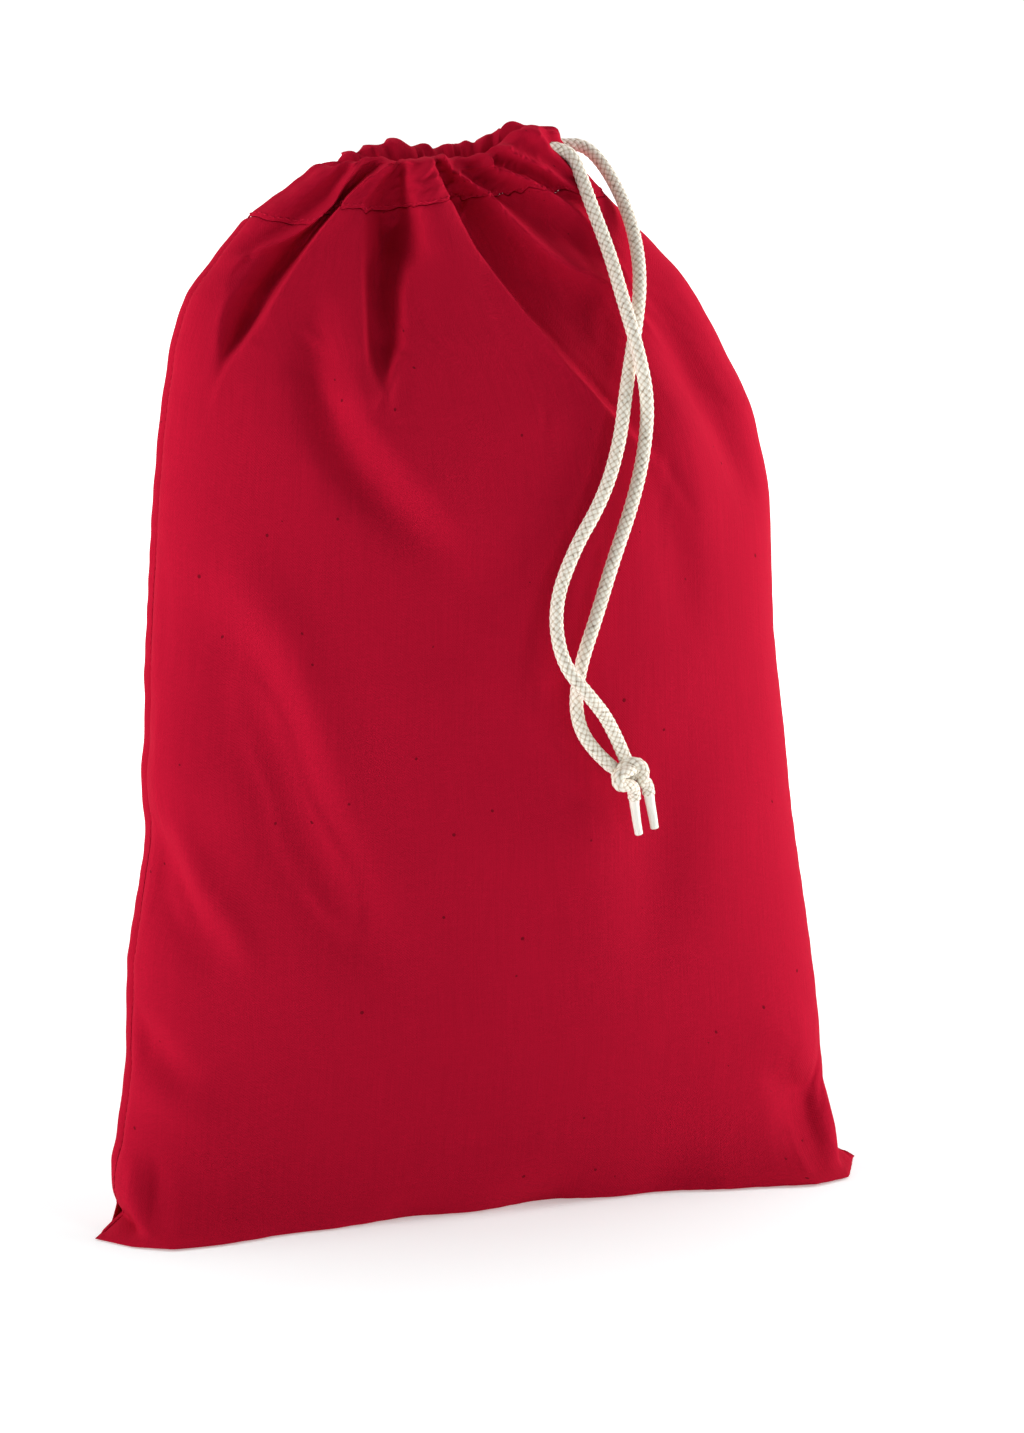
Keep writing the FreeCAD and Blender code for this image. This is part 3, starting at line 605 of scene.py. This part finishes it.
def start_shape():
    back = make_back_lines()
    levels = np.r_[30:388.01:2.0]
    half = NC // 2
    Q = np.zeros((len(levels), NC + 1, 3))
    for k, tau in enumerate(levels):
        for side, lines, sg in (("front", RIDGES_AND_VALLEYS, -1), ("back", back, 1)):
            x, y = section(tau, side, lines)
            lift = np.clip((tau - 340) / 48.0, 0, 1)
            z = tau + lift * (top_at(np.clip(x, -70, 45)) - 388.0)
            z = z + np.clip((tau - 364) / 24.0, 0, 1) ** 1.4 * top_edge(x, side)
            P, _ = even(x, sg * y, z, half + 1)
            if side == "front":
                Q[k, :half + 1] = P
            else:
                Q[k, half:] = P[::-1]
    # under the first level: the base's outline on the floor, and the seam under it
    tip_l, tip_r = np.array((-151.6, -18.2, 0.5)), np.array((150.0, -19.5, 0.5))
    u = np.linspace(0, 1, half + 1)
    seam = tip_l + (tip_r - tip_l) * u[:, None]
    fx = [0, .045, .09, .18, .31, .44, .57, .70, .83, .90, .95, 1]
    front = np.stack([np.interp(u, fx, [-151.6, -141.5, -128.0, -97, -58, -19, 22, 60, 98.6, 121, 137, 150.0]),
                      np.interp(u, fx, [-18.2, -32.0, -41.0, -39.5, -34.2, -33.6, -31.4, -36.2, -43.0, -49.5, -43.5, -19.5]), 0 * u + 0.4], 1)
    front[:, 1] += 1.6 * np.sin(u * 37.0) * np.sin(np.pi * u)
    backc = np.stack([np.interp(u, [0, .07, .16, .3, .5, .7, .84, .93, 1], [-151.6, -139, -118, -80, 0, 80, 121, 139, 150.0]),
                      np.interp(u, [0, .07, .16, .3, .5, .7, .84, .93, 1], [-18.2, -3, 15, 27, 31, 27, 14, -4, -19.5]), 0 * u + 0.4], 1)
    out = np.zeros((NR, NC + 1, 3))
    for i in range(NC + 1):
        if i <= half:
            s0, c0 = seam[i], front[i]
        else:
            s0, c0 = seam[NC - i], backc[NC - i]
        first = Q[0, i]
        path = [s0]
        if np.linalg.norm(c0 - s0) > 1:
            path.append(c0)
        left = min(i, NC - i) * 600.0 / NC
        right = abs(i - half) * 600.0 / NC
        corner = 19.0 if i <= half else 12.0
        e_l, e_r = max(0.0, 1 - left / corner), max(0.0, 1 - right / corner)
        ear = max(e_l, e_r)
        if ear > 0:
            # the corner's flat ear: up its face to the crease where the stuffed part starts
            w = 1 - ear
            if e_l > 0:
                v0 = np.array((-137.2, -5.0, 5.6)) * (1 - w) + np.array((-132.5, -31.0, 3.0) if i <= half else (-131.0, 8.0, 3.0)) * w
                out_x = -2.8
            else:
                v0 = np.array((144.2, -7.0, 4.6)) * (1 - w) + np.array((136.5, -32.0, 2.6) if i <= half else (137.0, 4.0, 3.0)) * w
                out_x = 2.2
            k = min(1.0, ear * 2.0)
            for t in (0.04, 0.12, 0.25, 0.4, 0.6, 0.8):
                s = 1 - (1 - t) ** 2.4
                p = c0 + (first - c0) * s
                p[2] = c0[2] + (first[2] - c0[2]) * t
                if t < 0.1:
                    q = c0 + (v0 - c0) * 0.5
                elif t < 0.2:
                    q = v0.copy()
                else:
                    tt = (t - 0.12) / 0.88
                    q = v0 + (first - v0) * tt
                    q[0] += out_x * math.sin(math.pi * tt ** 0.7) * 1.3
                path.append(p + (q - p) * k)
        else:
            for t in (0.04, 0.12, 0.25, 0.4, 0.6, 0.8):
                s = 1 - (1 - t) ** 2.4
                p = c0 + (first - c0) * s
                p[2] = c0[2] + (first[2] - c0[2]) * t
                path.append(p)
        P = np.vstack([path, Q[:, i]])
        d = np.r_[0, np.cumsum(np.linalg.norm(np.diff(P, axis=0), axis=1))]
        s = np.linspace(0, d[-1], NR)
        out[:, i] = np.stack([np.interp(s, d, P[:, k]) for k in range(3)], 1)
    return out


def smooth_rows(a, n=3):
    for _ in range(n):
        a[1:-1] = 0.25 * a[:-2] + 0.5 * a[1:-1] + 0.25 * a[2:]
    return a


def settle(X, steps, pin_row):
    """Position-based cloth: threads keep their length, the weave shears a little, the stuffing pushes out."""
    X = X.copy()
    n_r, n_c = X.shape[:2]
    lh = np.linalg.norm(np.diff(X, axis=1), axis=2)
    lv = np.linalg.norm(np.diff(X, axis=0), axis=2)
    Lh = lh.copy()
    for _ in range(12):
        Lh[:, 1:-1] = 0.25 * Lh[:, :-2] + 0.5 * Lh[:, 1:-1] + 0.25 * Lh[:, 2:]
        Lh[1:-1] = 0.25 * Lh[:-2] + 0.5 * Lh[1:-1] + 0.25 * Lh[2:]
    Lh = np.clip(Lh * 1.002, lh * 0.985, lh * 1.010)
    Lv = np.repeat(lv.mean(0)[None], n_r - 1, 0)
    Ls = np.sqrt(((Lh[:-1] + Lh[1:]) / 2) ** 2 + ((Lv[:, :-1] + Lv[:, 1:]) / 2) ** 2)
    W = np.ones((n_r, n_c))
    W[0] = 0
    W[pin_row:] = 0
    W[pin_row - 6:pin_row] = 0.35
    prev = X.copy()
    off_t = np.array((0, 10, 30, 100, 205, 265, 295, 325, 345, 362), float)
    off_v = np.array((14, 8, 4, 3.5, 4.0, 5.0, 6.5, 11, 15, 18), float)

    def pull(A, B, L, wa, wb, k):
        d = B - A
        l = np.sqrt((d * d).sum(-1)) + 1e-9
        f = (k * (l - L) / (l * np.maximum(wa + wb, 1e-6)))[..., None] * d
        return wa[..., None] * f, wb[..., None] * f

    def pairs(sa, sb, L, k, push_only=False):
        A, B = X[sa], X[sb]
        wa, wb = W[sa], W[sb]
        if push_only:
            d = B - A
            l = np.sqrt((d * d).sum(-1)) + 1e-9
            L = np.minimum(L, np.inf)
            LL = np.maximum(l, L)
            fa, fb = pull(A, B, LL, wa, wb, k)
        else:
            fa, fb = pull(A, B, L, wa, wb, k)
        X[sa] += fa
        X[sb] -= fb

    S = slice
    for it in range(steps):
        vel = (X - prev) * 0.90
        prev = X.copy()
        vel[..., 2] -= 0.006
        X += vel * W[..., None]
        for c in (0, 1):
            pairs((S(None), S(c, n_c - 1, 2)), (S(None), S(c + 1, n_c, 2)), Lh[:, c::2], 0.9)
            pairs((S(c, n_r - 1, 2), S(None)), (S(c + 1, n_r, 2), S(None)), Lv[c::2], 0.9)
        if it % 2 == 0:
            for c in (0, 1):
                pairs((S(c, n_r - 1, 2), S(0, n_c - 1)), (S(c + 1, n_r, 2), S(1, n_c)), Ls[c::2], 0.10)
                pairs((S(c, n_r - 1, 2), S(1, n_c)), (S(c + 1, n_r, 2), S(0, n_c - 1)), Ls[c::2], 0.10)
            for c in (0, 2):
                for o in (c, c + 1):
                    pairs((S(None), S(o, n_c - 2, 4)), (S(None), S(o + 2, n_c, 4)), 2 * Lh[:, o:n_c - 2:4], 0.035, True)
                    pairs((S(o, n_r - 2, 4), S(None)), (S(o + 2, n_r, 4), S(None)), 2 * Lv[o:n_r - 2:4], 0.06, True)
        # the two seams
        m = 0.5 * (X[:, 0] + X[:, -1])
        X[:, 0] = m
        X[:, -1] = m
        # stuffing
        z = X[..., 2]
        tau = z
        off = np.interp(tau, off_t, off_v)
        a = np.interp(tau, TAU, WIDE) - off
        b = np.interp(tau, TAU, DEEP) - off
        c = np.interp(tau, TAU, MID)
        gx, gy = (X[..., 0] - c) / a ** 2, X[..., 1] / b ** 2
        F = (X[..., 0] - c) * gx + X[..., 1] * gy
        inside = (F < 1) & (tau < 362) & (tau > 2)
        g2 = gx * gx + gy * gy + 1e-12
        st = np.where(inside, (1 - F) / (2 * g2), 0)
        X[..., 0] += st * gx * (W > 0)
        X[..., 1] += st * gy * (W > 0)
        X[..., 2] = np.maximum(X[..., 2], 0.8)
        touch = inside | (X[..., 2] <= 0.81)
        prev = np.where(touch[..., None], prev + 0.6 * (X - prev), prev)
    return X


shape = start_shape()
PIN = int(round(438.0 / 450.0 * (NR - 1)))
STITCH = int(round(420.0 / 450.0 * (NR - 1)))
# a short settling gives the cloth its small hollows; the folds themselves keep their places
move = settle(shape, 30, PIN) - shape
for _ in range(6):
    move[1:-1, 1:-1] = 0.5 * move[1:-1, 1:-1] + 0.125 * (move[:-2, 1:-1] + move[2:, 1:-1] + move[1:-1, :-2] + move[1:-1, 2:])
far_moved = np.linalg.norm(move, axis=2, keepdims=True) + 1e-9
rows = np.arange(NR)[:, None, None] * 450.0 / (NR - 1)
let = np.clip((rows - 14) / 30.0, 0, 1) * np.clip((STITCH * 450.0 / (NR - 1) - 10 - rows) / 40.0, 0, 1)
shape = shape + move * let * np.minimum(1.0, 1.8 / far_moved)

# the seams draw the cloth in a little
HALF = NC // 2


def plan_normals(X):
    du = np.gradient(X, axis=1)
    dv = np.gradient(X, axis=0)
    n = np.cross(du, dv)
    n /= np.linalg.norm(n, axis=2)[..., None] + 1e-9
    return n


nrm = plan_normals(shape)
for col, w in ((0, 1.0), (1, .45), (NC, 1.0), (NC - 1, .1), (NC - 2, -.7), (NC - 3, -.6), (HALF, 1.0), (HALF - 1, .45), (HALF + 1, .1), (HALF + 2, -.7), (HALF + 3, -.6)):
    shape[4:STITCH, col] -= 0.85 * w * nrm[4:STITCH, col]
# small puckers along the side seams, where the thread is tighter than the cloth
for col0 in (0, HALF, NC):
    for dc in range(-7, 8):
        col = col0 + dc
        if 0 <= col <= NC and not (col0 == HALF and abs(dc) > 7):
            zz = shape[4:STITCH, col, 2]
            w = math.exp(-(dc / 3.6) ** 2) * abs(dc) / 2.0
            ph = 0.0 if dc < 0 or col0 == 0 else 1.7
            shape[4:STITCH, col] += (0.16 * w * np.sin(zz * 2 * math.pi / 13.0 + 2.1 * np.sin(zz / 19.0) + ph))[:, None] * nrm[4:STITCH, col]
# the casing's stitch line pulls the cloth in, and the cloth puckers between the stitches
ucol = np.arange(NC + 1) * 600.0 / NC
for row, w in ((STITCH - 1, .5), (STITCH, 1.0), (STITCH + 1, .5)):
    shape[row] -= (w * (0.22 + 0.08 * np.sin(ucol * 2 * math.pi / 11.3 + np.sin(ucol * 0.11) * 2)))[:, None] * nrm[row]
m = 0.5 * (shape[:, 0] + shape[:, -1])
shape[:, 0] = m
shape[:, -1] = m


def grid_piece(name, X, uv, material, body=None, node=None, thick=0.45, smooth=1):
    """A sheet of cloth from a grid of points in millimetres."""
    r, c = X.shape[:2]
    me = bpy.data.meshes.new(name)
    idx = np.arange(r * c).reshape(r, c)
    F = np.stack([idx[:-1, :-1], idx[:-1, 1:], idx[1:, 1:], idx[1:, :-1]], -1).reshape(-1, 4)
    me.from_pydata((X.reshape(-1, 3) * MM).tolist(), [], F.tolist())
    me.shade_smooth()
    lay = me.uv_layers.new(name="flat")
    vi = np.zeros(len(me.loops), int)
    me.loops.foreach_get("vertex_index", vi)
    lay.data.foreach_set("uv", (uv.reshape(-1, 2)[vi] * MM).astype(np.float32).ravel())
    me.materials.append(material)
    ob = bpy.data.objects.new(name, me)
    scene.collection.objects.link(ob)
    if thick:
        s = ob.modifiers.new("thickness", "SOLIDIFY")
        s.thickness = thick * MM
        s.offset = -1
    if smooth:
        s = ob.modifiers.new("smooth", "SUBSURF")
        s.levels = s.render_levels = smooth
    if node:
        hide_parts(node)
    if body:
        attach(ob, body)
    return ob


UU, VV = np.meshgrid(np.arange(NC + 1) * 600.0 / NC, V)
UVs = np.stack([UU, VV], -1)
front_panel = grid_piece("front_cloth", shape[:STITCH + 1, :HALF + 1], UVs[:STITCH + 1, :HALF + 1], RED, None, "front_panel")
back_panel = grid_piece("back_cloth", shape[:STITCH + 1, HALF:], UVs[:STITCH + 1, HALF:], RED, None, "back_panel")
for ob in (front_panel, back_panel):
    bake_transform(ob)

# casings: the outer layer goes on from the panel, turns over at the top and comes back down inside, round the cord
outer = shape[STITCH:].copy()


def turned_in(outer, side):
    """Rows from the top edge over and down the inside of the casing."""
    top = outer[-1]
    n = len(top)
    rows = []
    sg = -1 if side == "front" else 1
    i_n = np.arange(n) * 600.0 / NC
    ph0 = i_n * (2 * math.pi / 24.0) + 1.9 * np.sin(i_n * 0.040 + (0.4 if side == "front" else 1.9)) + 0.9 * np.sin(i_n * 0.117)
    for k, (q, drop, wave) in enumerate(((0.18, 0.5, 1.0), (0.45, 0.8, 1.0), (0.72, 0.3, 1.0), (0.92, -1.6, 1.0), (1.0, -5.5, 1.15), (1.02, -10.0, 1.3), (1.04, -15.0, 1.2), (1.06, -21.0, 1.0))):
        x, y = top[:, 0], top[:, 1]
        cxn = -13.5
        xin = cxn + (x - cxn) * 0.84
        ph = ph0
        ends = np.clip(np.minimum(np.arange(n), n - 1 - np.arange(n)) / 10.0, 0, 1)
        yin = sg * ((4.2 if k < 4 else 2.1) + (1.5 if k < 4 else 0.4) * wave * np.sin(ph) + 0.25 * np.sin(2.3 * ph + 0.5 * k)) * ends
        p = np.stack([x + (xin - x) * q, y + (yin - y) * q, top[:, 2] + drop + 0.5 * np.sin(ph * 0.5 + 0.6) * (1 - q) + 0.5 * np.sin(ph) * q], 1)
        rows.append(p)
    return np.array(rows)


for side, cols, node in (("front", slice(0, HALF + 1), "front_casing"), ("back", slice(HALF, NC + 1), "back_casing")):
    o = outer[:, cols]
    inn = turned_in(o, side)
    X = np.concatenate([o, inn], 0)
    vv = np.r_[V[STITCH:], 450 + np.cumsum(np.full(len(inn), 2.6))]
    uu = np.arange(NC + 1)[cols] * 600.0 / NC
    g = np.stack(np.meshgrid(uu, vv), -1)
    ob = grid_piece(side + "_casing_cloth", X, g, RED, "neck", node, thick=0.4)


def stitches(name, line, normal, pitch, length, radius, material, body, uv_v):
    """A row of single stitches: short threads that come up, lie on the cloth and go down again."""
    d = np.r_[0, np.cumsum(np.linalg.norm(np.diff(line, axis=0), axis=1))]
    verts, faces, uvs = [], [], []
    sides, along = 6, 7
    s0 = pitch * 0.5
    while s0 + length < d[-1]:
        s = np.linspace(s0, s0 + length, along)
        P = np.stack([np.interp(s, d, line[:, k]) for k in range(3)], 1)
        Nn = np.stack([np.interp(s, d, normal[:, k]) for k in range(3)], 1)
        Nn /= np.linalg.norm(Nn, axis=1)[:, None] + 1e-9
        T = np.gradient(P, axis=0)
        T /= np.linalg.norm(T, axis=1)[:, None] + 1e-9
        B = np.cross(T, Nn)
        arch = np.sin(np.linspace(0, math.pi, along))
        P = P + Nn * ((radius * 0.9) * arch - radius * 0.9)[:, None]
        rad = radius * (0.45 + 0.55 * arch)
        base = len(verts)
        for k in range(along):
            for a in range(sides):
                w = 2 * math.pi * a / sides
                verts.append((P[k] + rad[k] * (math.cos(w) * Nn[k] + math.sin(w) * B[k])).tolist())
                uvs.append((s[k], uv_v + a * 0.3))
        for k in range(along - 1):
            for a in range(sides):
                b2 = (a + 1) % sides
                faces.append((base + k * sides + a, base + k * sides + b2, base + (k + 1) * sides + b2, base + (k + 1) * sides + a))
        faces.append(tuple(base + a for a in reversed(range(sides))))
        faces.append(tuple(base + (along - 1) * sides + a for a in range(sides)))
        s0 += pitch
    me = bpy.data.meshes.new(name)
    me.from_pydata((np.array(verts) * MM).tolist(), [], faces)
    me.shade_smooth()
    lay = me.uv_layers.new(name="flat")
    vi = np.zeros(len(me.loops), int)
    me.loops.foreach_get("vertex_index", vi)
    lay.data.foreach_set("uv", (np.array(uvs)[vi] * MM).astype(np.float32).ravel())
    me.materials.append(material)
    ob = bpy.data.objects.new(name, me)
    scene.collection.objects.link(ob)
    if body:
        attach(ob, body)
    return ob


nrm = plan_normals(shape)
for side, cols in (("front", slice(0, HALF + 1)), ("back", slice(HALF, NC + 1))):
    row = STITCH + 1
    line, nn = shape[row, cols], nrm[row, cols]
    st = stitches(side + "_casing_stitches", line + 0.15 * nn, nn, 2.9, 2.1, 0.26, THREAD, "neck", 421.0)
    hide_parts(side + "_casing_stitching")

# the side seams, seen outside as a pulled-in line with its stitches
for side, col in (("left", 0), ("right", HALF)):
    rows = np.arange(6, STITCH - 1)
    line, nn = shape[rows, col], nrm[rows, col]
    st = stitches(side + "_seam_stitches", line + 0.10 * nn, nn, 3.0, 1.9, 0.20, THREAD, None, 0.0)
    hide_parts(side + "_side_seam")
    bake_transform(st)
line = shape[0, :HALF + 1] + np.array((0, 0, 0.35))
st = stitches("bottom_seam_stitches", line, np.tile(np.array((0.0, 0.0, 1.0)), (HALF + 1, 1)), 3.0, 1.9, 0.2, THREAD, "sack", 0.0)
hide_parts("bottom_seam")

# ------------------------------------------------------------------ floor, light
floor_me = bpy.data.meshes.new("floor")
g = 6.0
floor_me.from_pydata([(-g, -g, 0), (g, -g, 0), (g, g, 0), (-g, g, 0)], [], [(0, 1, 2, 3)])
floor = bpy.data.objects.new("floor", floor_me)
scene.collection.objects.link(floor)
fm, ft, fb = new_material("pale_floor")
fpos = N(ft, "NewGeometry").outputs["Position"]
put(ft, fb, "Base Color", mix(ft, noise(ft, fpos, 2.0, 2.0), (0.74, 0.80, 0.80), (0.76, 0.82, 0.82)))
fb.inputs["Roughness"].default_value = 0.9
fb.inputs["Specular IOR Level"].default_value = 0.05
fb.inputs["Emission Color"].default_value = (1.0, 1.0, 1.0, 1.0)
# painted light: the floor glows though it is no lamp, faintly near the sack and paler and paler away from it, which
# leaves a painted shade round the sack's base
far = N(ft, "MapRange", interpolation_type="SMOOTHSTEP")
put(ft, far, "Value", vlength(ft, fpos))
far.inputs["From Min"].default_value = 0.22
far.inputs["From Max"].default_value = 0.85
far.inputs["To Min"].default_value = 0.36
far.inputs["To Max"].default_value = 1.05
fsep = N(ft, "SeparateXYZ")
put(ft, fsep, 0, fpos)
# painted shade: the glow is dimmed on the camera side of the floor, so less of it lights the sack's front
near_side = N(ft, "MapRange", interpolation_type="SMOOTHSTEP")
put(ft, near_side, "Value", fsep.outputs[1])
near_side.inputs["From Min"].default_value = -0.95
near_side.inputs["From Max"].default_value = -0.55
near_side.inputs["To Min"].default_value = 0.45
near_side.inputs["To Max"].default_value = 1.0
ft.links.new(math_node(ft, "MULTIPLY", far.outputs[0], near_side.outputs[0]), fb.inputs["Emission Strength"])
floor_me.materials.append(fm)

world = bpy.data.worlds.new("studio")
scene.world = world
world.use_nodes = True
wt = world.node_tree
wbg = wt.nodes["Background"]
wdir = N(wt, "TexCoord").outputs["Generated"]
wsep = N(wt, "SeparateXYZ")
put(wt, wsep, 0, wdir)
# the studio is white behind the sack and over it, and dark on the side it is seen from
behind = N(wt, "MapRange", interpolation_type="SMOOTHSTEP")
put(wt, behind, "Value", wsep.outputs[1])
behind.inputs["From Min"].default_value = -0.25
behind.inputs["From Max"].default_value = 0.30
behind.inputs["To Min"].default_value = 0.03
behind.inputs["To Max"].default_value = 1.08
wt.links.new(behind.outputs[0], wbg.inputs["Strength"])
wbg.inputs["Color"].default_value = (1.0, 1.0, 1.0, 1.0)


def softbox(name, pos, target, size, power, colour=(1, 1, 1)):
    d = bpy.data.lights.new(name, "AREA")
    d.shape = "RECTANGLE"
    d.size, d.size_y = size
    d.energy = power
    d.color = colour
    o = bpy.data.objects.new(name, d)
    scene.collection.objects.link(o)
    o.location = pos
    o.rotation_mode = "QUATERNION"
    o.rotation_quaternion = (Vector(target) - Vector(pos)).to_track_quat("-Z", "Y")
    return o


softbox("left_softbox", (-1.7, -0.11, 0.60), (0.0, 0.0, 0.22), (0.55, 1.3), 17.0)
softbox("right_softbox", (1.7, -0.26, 0.60), (0.0, 0.0, 0.22), (0.8, 1.3), 29.0)
softbox("key_softbox", (1.05, -1.35, 1.15), (0.0, 0.0, 0.22), (0.40, 0.40), 4.5)
softbox("top_softbox", (0.0, 0.3, 2.2), (0.0, 0.0, 0.2), (1.2, 1.2), 5.0)
